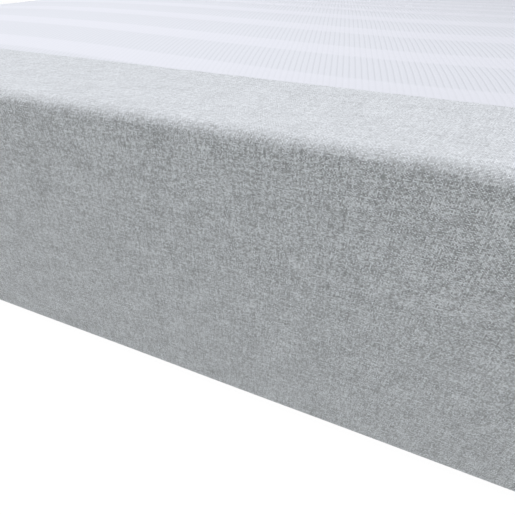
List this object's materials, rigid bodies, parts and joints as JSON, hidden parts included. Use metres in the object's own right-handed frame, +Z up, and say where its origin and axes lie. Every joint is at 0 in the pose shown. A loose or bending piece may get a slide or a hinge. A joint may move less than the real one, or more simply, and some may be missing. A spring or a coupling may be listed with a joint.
{
  "type": "memory foam mattress",
  "caption": "Low rectangular foam mattress with a crowned knit top panel, a woven border wrapped over the top edge, layered foam inside and a zip under its edge.",
  "frame": {"origin": "middle of the underside, on the surface that the mattress lies on", "axes": "+X along the length from the foot end to the head end, +Y across the width towards the side with the parked zip slider, +Z up"},
  "size_m": [2.0328, 1.524, 0.254],
  "materials": {
    "top_knit": "off-white ribbed jacquard knit",
    "border_cloth": "grey melange plain weave",
    "base_cloth": "dark grey non-slip cloth",
    "label_tape": "blank white satin tape",
    "zip_tape": "woven zip tape",
    "zip_coil": "nylon coil",
    "zip_metal": "nickel-plated",
    "sleeve_knit": "thin off-white knit",
    "support_foam": "cut foam",
    "transition_foam": "cut foam",
    "gel_foam": "cut gel foam",
    "memory_foam": "cut memory foam"
  },
  "bodies": {
    "mattress": {"cover_top_panel": "top_knit", "cover_border_front": "border_cloth", "cover_border_back": "border_cloth", "cover_border_head": "border_cloth", "cover_border_foot": "border_cloth", "cover_base_panel": "base_cloth", "care_label": "label_tape", "zip_tape_border": "zip_tape", "zip_tape_base": "zip_tape", "zip_coil_border": "zip_coil", "zip_coil_base": "zip_coil", "zip_end_stop": "zip_metal", "zip_start_stop": "zip_metal", "zip_end_tab": "border_cloth", "inner_sleeve_top": "sleeve_knit", "inner_sleeve_base": "sleeve_knit", "foam_base_layer": "support_foam", "foam_transition_layer": "transition_foam", "foam_gel_layer": "gel_foam", "foam_memory_layer": "memory_foam"},
    "slider": {"zip_slider": "zip_metal"},
    "pull": {"zip_pull": "zip_metal"}
  },
  "joints": [
    {"name": "zip_slide", "type": "slide", "parent": "mattress", "child": "slider", "axis": [-1, 0, 0], "range_m": [0, 1.8]},
    {"name": "pull_hinge", "type": "hinge", "parent": "slider", "child": "pull", "pos_m": [0.8672, 0.72, 0.0021], "axis": [0, -1, 0], "range_deg": [0, 180]}
  ]
}
